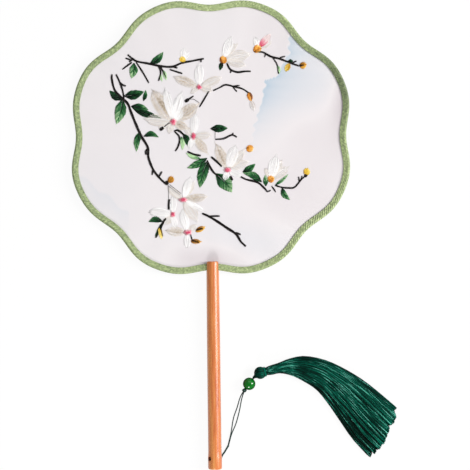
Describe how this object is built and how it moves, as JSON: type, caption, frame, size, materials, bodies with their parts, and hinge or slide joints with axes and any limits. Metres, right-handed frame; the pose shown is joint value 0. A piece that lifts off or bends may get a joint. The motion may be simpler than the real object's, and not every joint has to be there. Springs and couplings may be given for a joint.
{
  "type": "round embroidered hand fan",
  "caption": "Flat lobed hand fan: silk gauze with stitched blossom in a bound wire hoop, on a turned wooden handle with a cord, bead and thread tassel.",
  "frame": {"origin": "under the middle of the fan's own box, at the handle's lowest line, with the cord and tassel left out", "axes": "+Y from the handle's butt towards the face along the handle; +Z out of the embroidered side; +X to the right seen from that side"},
  "size_m": [0.2897, 0.4214, 0.0126],
  "materials": {
    "handle_wood": "clear satin lacquer over red-brown turned wood",
    "hoop_wire": "drawn wire",
    "silk_gauze": "sheer plain weave",
    "brocade_ribbon": "light green brocade, folded",
    "petal_thread": "white floss, satin stitch",
    "leaf_thread": "green floss, satin stitch",
    "brown_thread": "dark brown floss, stem stitch",
    "ochre_thread": "ochre floss, satin stitch",
    "green_cord": "thin twisted cord",
    "bead_glass": "polished green glass",
    "tassel_thread": "dark green silky thread",
    "mould_wood": "bare turned wood"
  },
  "bodies": {
    "fan": {"handle": "handle_wood", "hoop": "hoop_wire", "silk_face": "silk_gauze", "edge_binding": "brocade_ribbon", "branch_top_left": "brown_thread", "branch_trunk": "brown_thread", "branch_lower": "brown_thread", "branch_right": "brown_thread", "branch_far_right": "brown_thread", "branch_middle": "brown_thread", "branch_middle_left": "brown_thread", "branch_middle_right": "brown_thread", "branch_upper_middle": "brown_thread", "branch_top": "brown_thread", "branch_top_right": "brown_thread", "leaf_top": "leaf_thread", "leaf_top_left": "leaf_thread", "leaf_trunk_upper": "leaf_thread", "leaf_trunk_long": "leaf_thread", "leaf_trunk_right": "leaf_thread", "leaf_trunk_middle": "leaf_thread", "leaf_trunk_side": "leaf_thread", "leaf_inner": "leaf_thread", "leaf_centre_left": "leaf_thread", "leaf_centre": "leaf_thread", "leaf_centre_right": "leaf_thread", "leaf_right": "leaf_thread", "leaf_far_right": "leaf_thread", "leaf_upper_right": "leaf_thread", "leaf_lower_left": "leaf_thread", "bud_top_right": "ochre_thread", "bud_middle": "ochre_thread", "bud_trunk": "ochre_thread", "bud_far_right": "ochre_thread", "flower_upper_middle": "petal_thread", "flower_large": "petal_thread", "flower_middle": "petal_thread", "flower_right": "petal_thread", "flower_lower_upper": "petal_thread", "flower_lower_left": "petal_thread", "flower_lower": "petal_thread", "flower_top": "petal_thread", "flower_top_right": "petal_thread", "flower_far_right": "petal_thread", "flower_small": "petal_thread", "cord_tail": "green_cord", "stopper_knot": "green_cord"},
    "cord_neck": {"hitch_knot": "green_cord", "cord_neck": "green_cord", "loop_knot": "green_cord"},
    "cord_loop": {"cord_strand_left": "green_cord", "cord_strand_right": "green_cord", "bead_knot": "green_cord", "bead_cord": "green_cord"},
    "bead": {"bead": "bead_glass"},
    "tassel": {"tassel_knot": "tassel_thread", "tassel_head": "tassel_thread", "head_core": "mould_wood", "tassel_collar": "tassel_thread", "tassel_skirt": "tassel_thread"}
  },
  "joints": [
    {"name": "cord_swing", "type": "hinge", "parent": "fan", "child": "cord_neck", "pos_m": [0.00536, -0.20155, 0.0018], "axis": [0, 0, 1], "range_deg": [-150, 14]},
    {"name": "cord_lift", "type": "hinge", "parent": "cord_neck", "child": "cord_loop", "pos_m": [0.0119, -0.1907, 0.00135], "axis": [0.957, -0.29, 0], "range_deg": [-90, 90]},
    {"name": "bead_spin", "type": "hinge", "parent": "cord_loop", "child": "bead", "pos_m": [0.03159, -0.13437, 0.0056], "axis": [0.6018, 0.7986, 0], "continuous": true},
    {"name": "tassel_swing", "type": "hinge", "parent": "cord_loop", "child": "tassel", "pos_m": [0.03593, -0.12862, 0.0056], "axis": [0, 0, 1], "range_deg": [-40, 40]}
  ]
}
